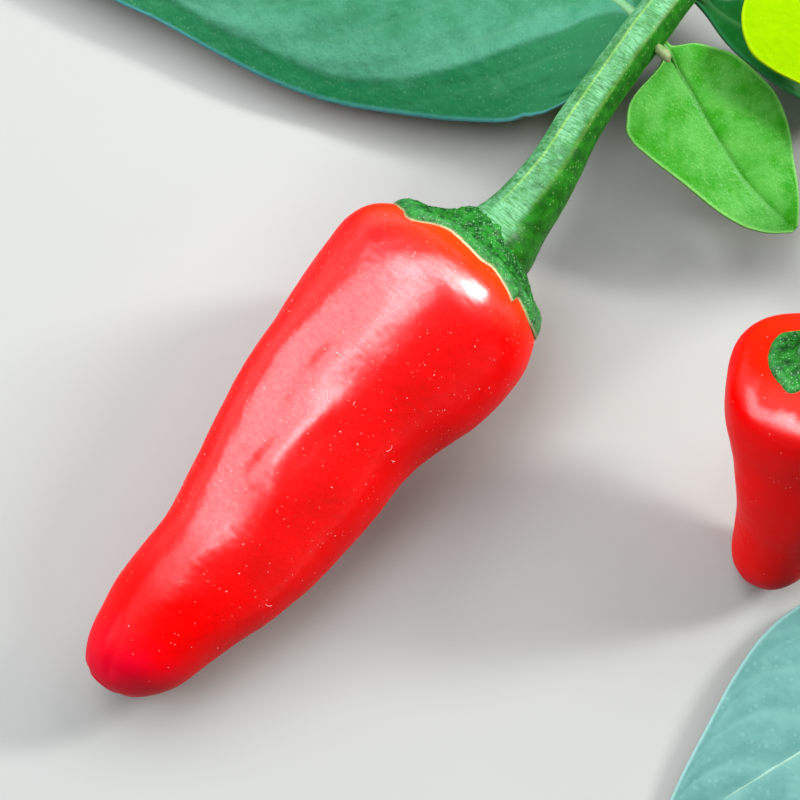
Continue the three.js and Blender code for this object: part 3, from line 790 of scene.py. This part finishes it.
class Nodes:
    """A node tree, with a short way to add each kind of node used here."""

    def __init__(self, tree):
        self.tree = tree

    def add(self, kind, inputs=None, **settings):
        """A node with its settings, and its inputs linked or set."""
        node = self.tree.nodes.new(kind)
        for name, value in settings.items():
            setattr(node, name, value)
        for key, value in (inputs or {}).items():
            socket = node.inputs[key]
            if isinstance(value, bpy.types.NodeSocket):
                self.tree.links.new(value, socket)
            else:
                socket.default_value = (*value[:3], 1.0) if socket.type == "RGBA" else value
        return node

    def combined(self, operation, first, second, clamp=False):
        """The result of two values."""
        node = self.add("ShaderNodeMath", {0: first, 1: second}, operation=operation, use_clamp=clamp)
        return node.outputs[0]

    def times(self, first, second):
        return self.combined("MULTIPLY", first, second)

    def plus(self, first, second, clamp=False):
        return self.combined("ADD", first, second, clamp)

    def mixed(self, factor, first, second):
        """Two colours mixed by a factor."""
        return self.add("ShaderNodeMix", {0: factor, 6: first, 7: second}, data_type="RGBA").outputs[2]

    def ranged(self, value, low, high, to_low=0.0, to_high=1.0):
        """A value moved smoothly from one range to another."""
        node = self.add("ShaderNodeMapRange", {
            "Value": value, "From Min": low, "From Max": high, "To Min": to_low, "To Max": to_high,
        }, interpolation_type="SMOOTHSTEP")
        return node.outputs["Result"]

    def mark(self, name):
        """The value of one of a piece's marks."""
        return self.add("ShaderNodeAttribute", attribute_name=name).outputs["Fac"]

    def place(self):
        """The place on the piece."""
        return self.add("ShaderNodeTexCoord").outputs["Object"]

    def upward(self):
        """How much a face looks up."""
        facing = self.add("ShaderNodeNewGeometry").outputs["Normal"]
        return self.add("ShaderNodeSeparateXYZ", {0: facing}).outputs["Z"]

    def noise(self, place, scale, detail, roughness=0.5):
        """Soft noise, from 0 to 1."""
        return self.add("ShaderNodeTexNoise", {
            "Vector": place, "Scale": scale, "Detail": detail, "Roughness": roughness}).outputs["Fac"]

    def strokes(self, along, around, detail):
        """Noise drawn out round a piece, so many strokes along it and so many round it."""
        uv = self.add("ShaderNodeUVMap", uv_map=UV_NAME).outputs["UV"]
        drawn = self.add("ShaderNodeMapping", {"Vector": uv, "Scale": (along, around, 1.0)})
        return self.noise(drawn.outputs["Vector"], 1.0, detail)

    def bumped(self, height, strength, distance):
        """A normal from a height, with the height's reach in millimetres."""
        return self.add("ShaderNodeBump", {
            "Height": height, "Strength": strength, "Distance": distance * MM}).outputs["Normal"]

    def effect(self, name, **values):
        """A shared effect, placed with its own values."""
        node = self.add("ShaderNodeGroup", node_tree=effect_group(name))
        for label, value in values.items():
            node.inputs[label.capitalize()].default_value = value
        return node.outputs[0]


class Finish(Nodes):
    """A material with a plain Principled shader, and the nodes that feed it."""

    def __init__(self, name, **constants):
        self.material = bpy.data.materials.new(name)
        self.material.use_nodes = True
        super().__init__(self.material.node_tree)
        self.shader = self.tree.nodes["Principled BSDF"]
        for label, value in constants.items():
            self.shader.inputs[label.replace("_", " ")].default_value = value

    def feed(self, **sockets):
        """Links outputs to the shader's sockets, and gives the finished material."""
        for label, value in sockets.items():
            self.tree.links.new(value, self.shader.inputs[label.replace("_", " ")])
        return self.material


def skin_grain(nodes, given):
    """Fine cells of a plant's skin, as a height."""
    place = nodes.place()
    cells = nodes.add("ShaderNodeTexVoronoi", {
        "Vector": place, "Scale": given["Scale"]}, feature="SMOOTH_F1")
    grain = nodes.noise(place, given["Scale"], 3.0)
    height = nodes.add("ShaderNodeMix", {
        0: given["Softness"], 2: cells.outputs["Distance"], 3: grain})
    return height.outputs[0]


def mottle(nodes, given):
    """Soft uneven patches, as a mask from 0 to 1."""
    patches = nodes.noise(nodes.place(), given["Scale"], 4.0, 0.6)
    half = nodes.times(given["Contrast"], 0.5)
    return nodes.ranged(patches, half, nodes.combined("SUBTRACT", 1.0, half))


def specks(nodes, given):
    """Tiny scattered dots, as a mask from 0 to 1."""
    dots = nodes.add("ShaderNodeTexVoronoi", {"Vector": nodes.place(), "Scale": given["Scale"]})
    near = nodes.combined("LESS_THAN", dots.outputs["Distance"], given["Size"])
    parts = nodes.add("ShaderNodeSeparateColor", {"Color": dots.outputs["Color"]})
    return nodes.times(near, nodes.combined("LESS_THAN", parts.outputs["Red"], given["Share"]))


def top_sheen(nodes, given):
    """A pale sheen painted on faces that look up, broken into streaks, as a mask from 0 to 1."""
    upward = nodes.ranged(nodes.upward(), 0.45, 0.98)
    broken = nodes.ranged(nodes.noise(nodes.place(), given["Scale"], 3.0), 0.3, 0.65)
    return nodes.times(nodes.times(upward, broken), given["Amount"])


# The shared effects: how each is made, its inputs with their usual values, and what it puts out.
EFFECTS = {
    "Skin Grain": (skin_grain, {"Scale": 3000.0, "Softness": 0.5}, "Height"),
    "Mottle": (mottle, {"Scale": 300.0, "Contrast": 0.5}, "Mask"),
    "Specks": (specks, {"Scale": 2500.0, "Size": 0.25, "Share": 0.3}, "Mask"),
    "Painted Top Sheen": (top_sheen, {"Scale": 500.0, "Amount": 0.6}, "Mask"),
}


def effect_group(name):
    """The node group of an effect, made the first time that it is asked for."""
    if name in bpy.data.node_groups:
        return bpy.data.node_groups[name]
    make, inputs, output = EFFECTS[name]
    group = bpy.data.node_groups.new(name, "ShaderNodeTree")
    for label, usual in inputs.items():
        socket = group.interface.new_socket(label, in_out="INPUT", socket_type="NodeSocketFloat")
        socket.default_value = usual
    group.interface.new_socket(output, in_out="OUTPUT", socket_type="NodeSocketFloat")
    given, result = group.nodes.new("NodeGroupInput"), group.nodes.new("NodeGroupOutput")
    group.links.new(make(Nodes(group), given.outputs), result.inputs[output])
    return group


def fruit_material(settings):
    """Ripe waxy red skin, more orange at the crown and crimson at the tip."""
    skin = Finish("Ripe Skin", IOR=1.45, Specular_IOR_Level=0.04, Coat_Roughness=0.30, Coat_IOR=2.15)
    patches = skin.effect("Mottle", scale=260.0, contrast=0.4)
    along = skin.plus(skin.mark("along"), skin.times(patches, 0.05))
    crown = skin.times(skin.mark("crown"), skin.ranged(patches, 0.0, 1.0, 0.8, 1.0))
    colour = skin.mixed(crown, settings.skin, settings.crown)
    colour = skin.mixed(skin.ranged(along, 0.17, 0.04), colour, settings.tip)
    shade = skin.effect("Mottle", scale=120.0, contrast=0.5)
    colour = skin.mixed(skin.times(shade, 0.14), colour, (0.45, 0.0, 0.0))
    dots = skin.effect("Specks", scale=3600.0, size=0.2, share=0.06)
    colour = skin.mixed(skin.times(dots, 0.35), colour, (0.95, 0.5, 0.4))

    # The wax shines where the skin looks up, least near the tip and next to the cap, and unevenly.
    fine = skin.effect("Skin Grain", scale=3800.0, softness=0.6)
    gloss = skin.ranged(skin.upward(), 0.5, 0.87)
    for value, dull, full, least in (
            (along, 0.2, 0.4, 0.06), (along, 1.0, 0.965, 0.04), (fine, 0.2, 0.65, 0.76),
            (skin.strokes(210.0, 52.0, 4.0), 0.35, 0.62, 0.84)):
        gloss = skin.times(gloss, skin.ranged(value, dull, full, least, 1.0))
    return skin.feed(
        Base_Color=colour, Coat_Weight=skin.plus(gloss, 0.03, clamp=True),
        Roughness=skin.plus(skin.times(patches, 0.06), 0.4), Normal=skin.bumped(fine, 0.5, 0.045))


def dust_material():
    """Pale dust."""
    dust = Finish("Pale Dust", Specular_IOR_Level=0.3)
    patches = dust.effect("Mottle", scale=900.0, contrast=0.5)
    return dust.feed(Base_Color=dust.mixed(patches, (0.85, 0.46, 0.42), (0.95, 0.8, 0.75)),
                     Roughness=dust.ranged(patches, 0.0, 1.0, 0.55, 0.75))


def cap_material(settings):
    """Dark green bumpy cap, painted paler as sheen where it looks up and with pale specks painted as
    glints, a lighter lip and a thin ivory rim.
    """
    cap = Finish("Green Cap", IOR=1.45, Specular_IOR_Level=0.2)
    patches = cap.effect("Mottle", scale=1500.0, contrast=0.7)
    colour = cap.mixed(patches, settings.cap, settings.cap_light)
    # Painted sheen: the cap is painted paler where it looks up.
    bloom_and_sheen = cap.times(cap.effect("Painted Top Sheen", scale=2600.0, amount=0.24), 0.7)
    lighter = cap.plus(bloom_and_sheen, cap.times(cap.mark("lip"), 0.32), clamp=True)
    colour = cap.mixed(lighter, colour, (0.07, 0.34, 0.09))
    # Pale specks painted as glints.
    dots = cap.effect("Specks", scale=6200.0, size=0.34, share=0.3)
    colour = cap.mixed(cap.times(dots, 0.36), colour, (0.40, 0.70, 0.38))
    colour = cap.mixed(cap.mark("rim"), colour, settings.cap_rim)
    cells = cap.effect("Skin Grain", scale=3800.0, softness=0.35)
    return cap.feed(Base_Color=colour, Roughness=cap.plus(cap.times(patches, 0.12), 0.34),
                    Normal=cap.bumped(cells, 0.8, 0.12))


def limb_material(settings):
    """Ribbed green stalk with yellow-green ridges and a pale bloom painted as sheen, finely crossed, on
    its upper face.
    """
    limb = Finish("Ribbed Stalk", IOR=1.45, Specular_IOR_Level=0.22)
    streaks = limb.strokes(330.0, 15.0, 3.0)
    patches = limb.effect("Mottle", scale=1100.0, contrast=0.6)
    colour = limb.mixed(patches, settings.limb, settings.limb_light)
    broken = limb.effect("Mottle", scale=500.0, contrast=0.5)
    # Painted sheen: the face on the upper side is painted pale.
    bloom_and_sheen = limb.times(limb.mark("face"), limb.ranged(broken, 0.0, 1.0, 0.35, 1.0))
    crossed = limb.times(bloom_and_sheen, limb.ranged(streaks, 0.36, 0.6, 0.4, 1.0))
    colour = limb.mixed(crossed, colour, settings.bloom_and_sheen)
    ridge = limb.ranged(limb.mark("ridge"), 0.2, 1.0, 0.0, 0.55)
    ridge = limb.times(ridge, limb.ranged(broken, 0.0, 1.0, 0.55, 1.0))
    colour = limb.mixed(ridge, colour, settings.ridge)
    grit = limb.effect("Specks", scale=5600.0, size=0.38, share=0.3)
    colour = limb.mixed(limb.times(grit, 0.42), colour, settings.limb_light)
    dots = limb.effect("Specks", scale=4600.0, size=0.3, share=0.16)
    colour = limb.mixed(limb.times(dots, 0.24), colour, (0.42, 0.68, 0.22))
    height = limb.plus(limb.effect("Skin Grain", scale=3200.0, softness=0.5), streaks)
    return limb.feed(Base_Color=colour, Roughness=limb.ranged(streaks, 0.3, 0.7, 0.36, 0.5),
                     Normal=limb.bumped(height, 0.4, 0.05))


def bud_material():
    """A dry bud, pinkish brown with a green base."""
    bud = Finish("Dry Bud", IOR=1.45)
    patches = bud.effect("Mottle", scale=1300.0, contrast=0.5)
    colour = bud.mixed(patches, (0.12, 0.25, 0.06), (0.34, 0.34, 0.17))
    colour = bud.mixed(bud.ranged(bud.mark("along"), 0.35, 0.1), colour, (0.04, 0.22, 0.02))
    return bud.feed(Base_Color=colour, Roughness=bud.ranged(patches, 0.0, 1.0, 0.5, 0.7))


def blade_material(name, base, look):
    """A leaf's blade: mottled green, quilted, with paler veins and underside, painted light on its
    swellings, a painted highlight along its rim, painted glints and painted shade on the large leaf's band
    and the small leaf's groove.
    """
    blade = Finish(f"{name} Blade", IOR=1.42, Specular_IOR_Level=look.get("gloss", 0.14))
    patches = blade.effect("Mottle", scale=420.0, contrast=0.6)
    # Painted light: the blade is painted lighter where it swells up, along with random paler patches.
    lighter = blade.times(blade.mark("swell"), 0.6)
    lighter = blade.plus(blade.times(patches, 0.6), lighter, clamp=True)
    # The pale dots are painted glints; the dark dots are random tone.
    dots = blade.effect("Specks", scale=look["grain"], size=0.3, share=0.3)
    dark = blade.effect("Specks", scale=look["grain"] * 1.5, size=0.34, share=0.4)
    colour = blade.mixed(lighter, base, look["light"])
    for mask, over in (
            # Painted shade on the large leaf's band beyond its arc.
            (blade.times(blade.mark("shade_band"), 0.85), look.get("shade_band", base)),
            (blade.times(dots, 0.28), look["vein"]),
            (blade.times(dark, 0.35), base),
            (blade.times(blade.mark("vein"), 0.6), look["vein"]),
            # The midrib's groove, painted dark as shade on the small leaf.
            (blade.times(blade.mark("rib"), 0.5), look.get("groove_shade", look["vein"])),
            # A painted highlight along the rim.
            (blade.mark("rim"), look["rim"]),
            (blade.times(blade.mark("under"), 0.6), look["under"])):
        colour = blade.mixed(mask, colour, over)
    fine = blade.effect("Skin Grain", scale=look["grain"], softness=0.4)
    return blade.feed(Base_Color=colour, Roughness=blade.ranged(patches, 0.0, 1.0, 0.38, 0.5),
                      Normal=blade.bumped(fine, 0.8, 0.06))


def rib_material(name, look):
    """A petiole and midrib, paler than the blade."""
    rib = Finish(f"{name} Rib", IOR=1.45)
    patches = rib.effect("Mottle", scale=900.0, contrast=0.5)
    fine = rib.effect("Skin Grain", scale=3000.0, softness=0.5)
    return rib.feed(Base_Color=rib.mixed(patches, *look["rib"]),
                    Roughness=rib.ranged(patches, 0.0, 1.0, 0.4, 0.52),
                    Normal=rib.bumped(fine, 0.4, 0.04))


def floor_material(colour):
    """A plain pale floor."""
    floor = Finish("Pale Floor", Specular_IOR_Level=0.2, Roughness=0.75)
    patches = floor.effect("Mottle", scale=14.0, contrast=0.3)
    return floor.feed(Base_Color=floor.mixed(patches, colour, [part * 0.97 for part in colour]))


# ---------------------------------------------------------------- settings


def colour_setting(name, description, default):
    return bpy.props.FloatVectorProperty(
        name=name, description=description, default=default, subtype="COLOR", size=3, min=0.0, max=1.0)


def size_setting(name, description, default):
    return bpy.props.FloatProperty(
        name=name, description=description, default=default * MM, unit="LENGTH", precision=5)


def share_setting(name, description, most):
    return bpy.props.FloatProperty(name=name, description=description + ", as a part of the usual",
                                   default=1.0, min=0.0, max=most, subtype="FACTOR")


class SprigFruitSettings(bpy.types.PropertyGroup):
    """Sizes and colours of the fruits and their caps."""

    large_length: size_setting(
        "Large Length", "Length of the large fruit from tip to crown", FRUITS["large"]["length"])
    large_radius: size_setting(
        "Large Radius", "Widest radius of the large fruit", FRUITS["large"]["radius"])
    small_length: size_setting(
        "Small Length", "Length of the small fruit from tip to crown", FRUITS["small"]["length"])
    small_radius: size_setting(
        "Small Radius", "Widest radius of the small fruit", FRUITS["small"]["radius"])
    dent_depth: share_setting("Dent Depth", "Depth of the soft hollows in the skin", 2.0)
    dust_count: bpy.props.IntProperty(
        name="Dust Specks", description="Number of pale specks on the large fruit", default=620, min=0)
    skin: colour_setting("Skin", "Ripe skin over most of the fruit", (0.98, 0.0004, 0.0004))
    crown: colour_setting("Crown", "Skin next to the cap", (0.90, 0.05, 0.001))
    tip: colour_setting("Tip", "Skin at the blossom end", (0.78, 0.0003, 0.022))
    cap: colour_setting("Cap", "Darkest green of the cap", (0.0015, 0.042, 0.0024))
    cap_light: colour_setting("Cap Light", "Lighter green of the cap", (0.014, 0.20, 0.012))
    cap_rim: colour_setting("Cap Rim", "Thin pale edge of the cap", (0.8, 0.66, 0.38))


class SprigLimbSettings(bpy.types.PropertyGroup):
    """Colours of the stalks and branches."""

    limb: colour_setting("Green", "Main green of a stalk", (0.003, 0.075, 0.0012))
    limb_light: colour_setting("Light Green", "Lighter green of a stalk", (0.014, 0.18, 0.005))
    ridge: colour_setting("Ridge", "Yellow-green of the ridges", (0.34, 0.60, 0.10))
    # This colour is the pale sheen painted on the limbs' upper face.
    bloom_and_sheen: colour_setting("Bloom", "Pale waxy bloom between the ridges", (0.165, 0.45, 0.215))


class SprigLeafSettings(bpy.types.PropertyGroup):
    """Sizes and colours of the leaves."""

    thickness: size_setting("Thickness", "Thickness of a leaf's blade", 0.34)
    vein_depth: share_setting("Vein Depth", "Depth of the veins and quilting", 2.0)
    dark: colour_setting("Dark Leaf", "Large leaf", (0.014, 0.165, 0.06))
    bright: colour_setting("Bright Leaf", "Small leaf next to the stalk", (0.022, 0.25, 0.003))
    # Partly painted light: this colour is bright to stand in for light shining through the young leaf.
    young: colour_setting("Young Leaf", "Yellow-green young leaf", (0.23, 0.45, 0.0004))
    back: colour_setting("Back Leaf", "Dark leaf behind the small ones", (0.008, 0.15, 0.02))
    pale: colour_setting("Pale Leaf", "Bluish leaf at the side", (0.085, 0.25, 0.215))


class SprigStageSettings(bpy.types.PropertyGroup):
    """The floor and the light."""

    floor: colour_setting("Floor", "Plain pale floor", (0.42, 0.43, 0.40))
    light: share_setting("Light", "Brightness of the studio light", 4.0)


# ---------------------------------------------------------------- operators


def sized_fruit(size):
    """A fruit with the length, radius and depth of hollows that the settings give."""
    settings = bpy.context.scene.sprig_fruit
    hollows = [(*hollow[:5], hollow[5] * settings.dent_depth) for hollow in FRUITS[size]["hollows"]]
    return dict(FRUITS[size], hollows=hollows, length=getattr(settings, size + "_length") / MM,
                radius=getattr(settings, size + "_radius") / MM)


class SPRIG_OT_fruits(bpy.types.Operator):
    """Make both fruits with their dented, waxy skins"""

    bl_idname = "sprig.fruits"
    bl_label = "Make Fruits"

    def execute(self, context):
        settings = context.scene.sprig_fruit
        material = fruit_material(settings)
        for size in FRUITS:
            skin = fruit_skin(sized_fruit(size))
            finish_piece(f"{size}_fruit_skin", skin, material, [f"fruit_{size}"])
        dust = fruit_dust(sized_fruit("large"), settings.dust_count)
        finish_piece("fruit_dust", dust, dust_material())
        return {"FINISHED"}


class SPRIG_OT_caps(bpy.types.Operator):
    """Make the green cap of each fruit"""

    bl_idname = "sprig.caps"
    bl_label = "Make Caps"

    def execute(self, context):
        material = cap_material(context.scene.sprig_fruit)
        for size in FRUITS:
            shell = cap_shell(sized_fruit(size))
            finish_piece(f"{size}_cap", shell, material, [f"calyx_{size}"])
        return {"FINISHED"}


class SPRIG_OT_limbs(bpy.types.Operator):
    """Make the stalks and branches"""

    bl_idname = "sprig.limbs"
    bl_label = "Make Stalks"

    def execute(self, context):
        material = limb_material(context.scene.sprig_limb)
        for name, limb in LIMBS.items():
            points = limb["points"]
            if "fruit" in limb:
                fruit = sized_fruit(limb["fruit"])
                seat = [fruit_point(fruit, fruit["length"] + height, side, 0)
                        for height, side in limb["seat"]]
                points = seat + points
            skin = limb_skin(Course(points), limb)
            finish_piece(name, skin, material, limb["replaces"])
        finish_piece("axil_bud", axil_bud(), bud_material())
        return {"FINISHED"}


class SPRIG_OT_leaves(bpy.types.Operator):
    """Make the five leaves with their veins and midribs"""

    bl_idname = "sprig.leaves"
    bl_label = "Make Leaves"

    def execute(self, context):
        settings = context.scene.sprig_leaf
        for place, leaf in LEAVES.items():
            look = LEAF_LOOKS[leaf["look"]]
            name, base = leaf["look"].capitalize(), getattr(settings, leaf["look"])
            blade = leaf_blade(leaf, settings.thickness, settings.vein_depth)
            finish_piece(f"{place}_leaf_blade", blade, blade_material(name, base, look),
                         [f"leaf_{place}"])
            finish_piece(f"{place}_leaf_rib", leaf_rib(leaf), rib_material(name, look))
        return {"FINISHED"}


def add_floor(colour):
    """The plain floor under the sprig."""
    bm = bmesh.new()
    bmesh.ops.create_grid(bm, x_segments=4, y_segments=4, size=2.5)
    mesh = bpy.data.meshes.new("floor")
    bm.to_mesh(mesh)
    bm.free()
    mesh.materials.append(floor_material(colour))
    add_object("floor", mesh)


def add_panel(name, aim, direction, size, power, roll, colour):
    """A soft rectangular light that faces a place, turned about its own heading."""
    lamp = bpy.data.lights.new(name, "AREA")
    lamp.shape = "RECTANGLE"
    lamp.size, lamp.size_y = size
    lamp.energy = power
    lamp.color = colour
    light = add_object(name, lamp)
    heading = Vector(direction).normalized()
    light.location = aim + heading * PANEL_DISTANCE
    turned = heading.to_track_quat("Z", "Y") @ Quaternion((0, 0, 1), math.radians(roll))
    light.rotation_euler = turned.to_euler()
    light.visible_camera = False


def add_camera(aim):
    """A camera above the sprig, tilted towards its lower edge."""
    lens = bpy.data.cameras.new("camera")
    lens.lens = FOCAL_LENGTH
    lens.sensor_width = 36.0
    lens.clip_start = 0.01
    camera = add_object("camera", lens)
    lift = math.radians(CAMERA_LIFT)
    camera.location = aim + Vector((0, -math.cos(lift), math.sin(lift))) * CAMERA_DISTANCE * MM
    camera.rotation_euler = (math.radians(90 - CAMERA_LIFT), 0, 0)
    bpy.context.scene.camera = camera


class SPRIG_OT_stage(bpy.types.Operator):
    """Make the floor, the light and the camera"""

    bl_idname = "sprig.stage"
    bl_label = "Make Stage"

    def execute(self, context):
        scene = context.scene
        settings = scene.sprig_stage
        aim = spot(AIM)
        add_floor(settings.floor)
        for name, direction, size, power, roll, colour in PANELS:
            add_panel(name, aim, direction, size, power * settings.light, roll, colour)
        world = scene.world or bpy.data.worlds.new("World")
        scene.world = world
        world.use_nodes = True
        backdrop = world.node_tree.nodes["Background"]
        backdrop.inputs["Color"].default_value = SKY_COLOUR
        backdrop.inputs["Strength"].default_value = SKY_STRENGTH * settings.light
        add_camera(aim)
        scene.view_settings.view_transform = "Standard"
        return {"FINISHED"}


# ---------------------------------------------------------------- panel


OPERATORS = (SPRIG_OT_fruits, SPRIG_OT_caps, SPRIG_OT_limbs, SPRIG_OT_leaves, SPRIG_OT_stage)
SETTINGS = {
    "sprig_fruit": SprigFruitSettings, "sprig_limb": SprigLimbSettings,
    "sprig_leaf": SprigLeafSettings, "sprig_stage": SprigStageSettings,
}


class SPRIG_PT_panel(bpy.types.Panel):
    """Sizes, colours and pieces of the sprig"""

    bl_label = "Chilli Sprig"
    bl_idname = "SPRIG_PT_panel"
    bl_space_type = "VIEW_3D"
    bl_region_type = "UI"
    bl_category = "Sprig"

    def draw(self, context):
        for name, settings in SETTINGS.items():
            box = self.layout.box()
            for label in settings.__annotations__:
                box.prop(getattr(context.scene, name), label)
        for operator in OPERATORS:
            self.layout.operator(operator.bl_idname)


def register():
    for owned in (*SETTINGS.values(), *OPERATORS, SPRIG_PT_panel):
        bpy.utils.register_class(owned)
    for name, settings in SETTINGS.items():
        setattr(bpy.types.Scene, name, bpy.props.PointerProperty(type=settings))


def unregister():
    for name in SETTINGS:
        delattr(bpy.types.Scene, name)
    for owned in (SPRIG_PT_panel, *reversed(OPERATORS), *reversed(SETTINGS.values())):
        bpy.utils.unregister_class(owned)


def main():
    register()
    bpy.ops.sprig.fruits()
    bpy.ops.sprig.caps()
    bpy.ops.sprig.limbs()
    bpy.ops.sprig.leaves()
    bpy.ops.sprig.stage()


if __name__ == "__main__":
    main()
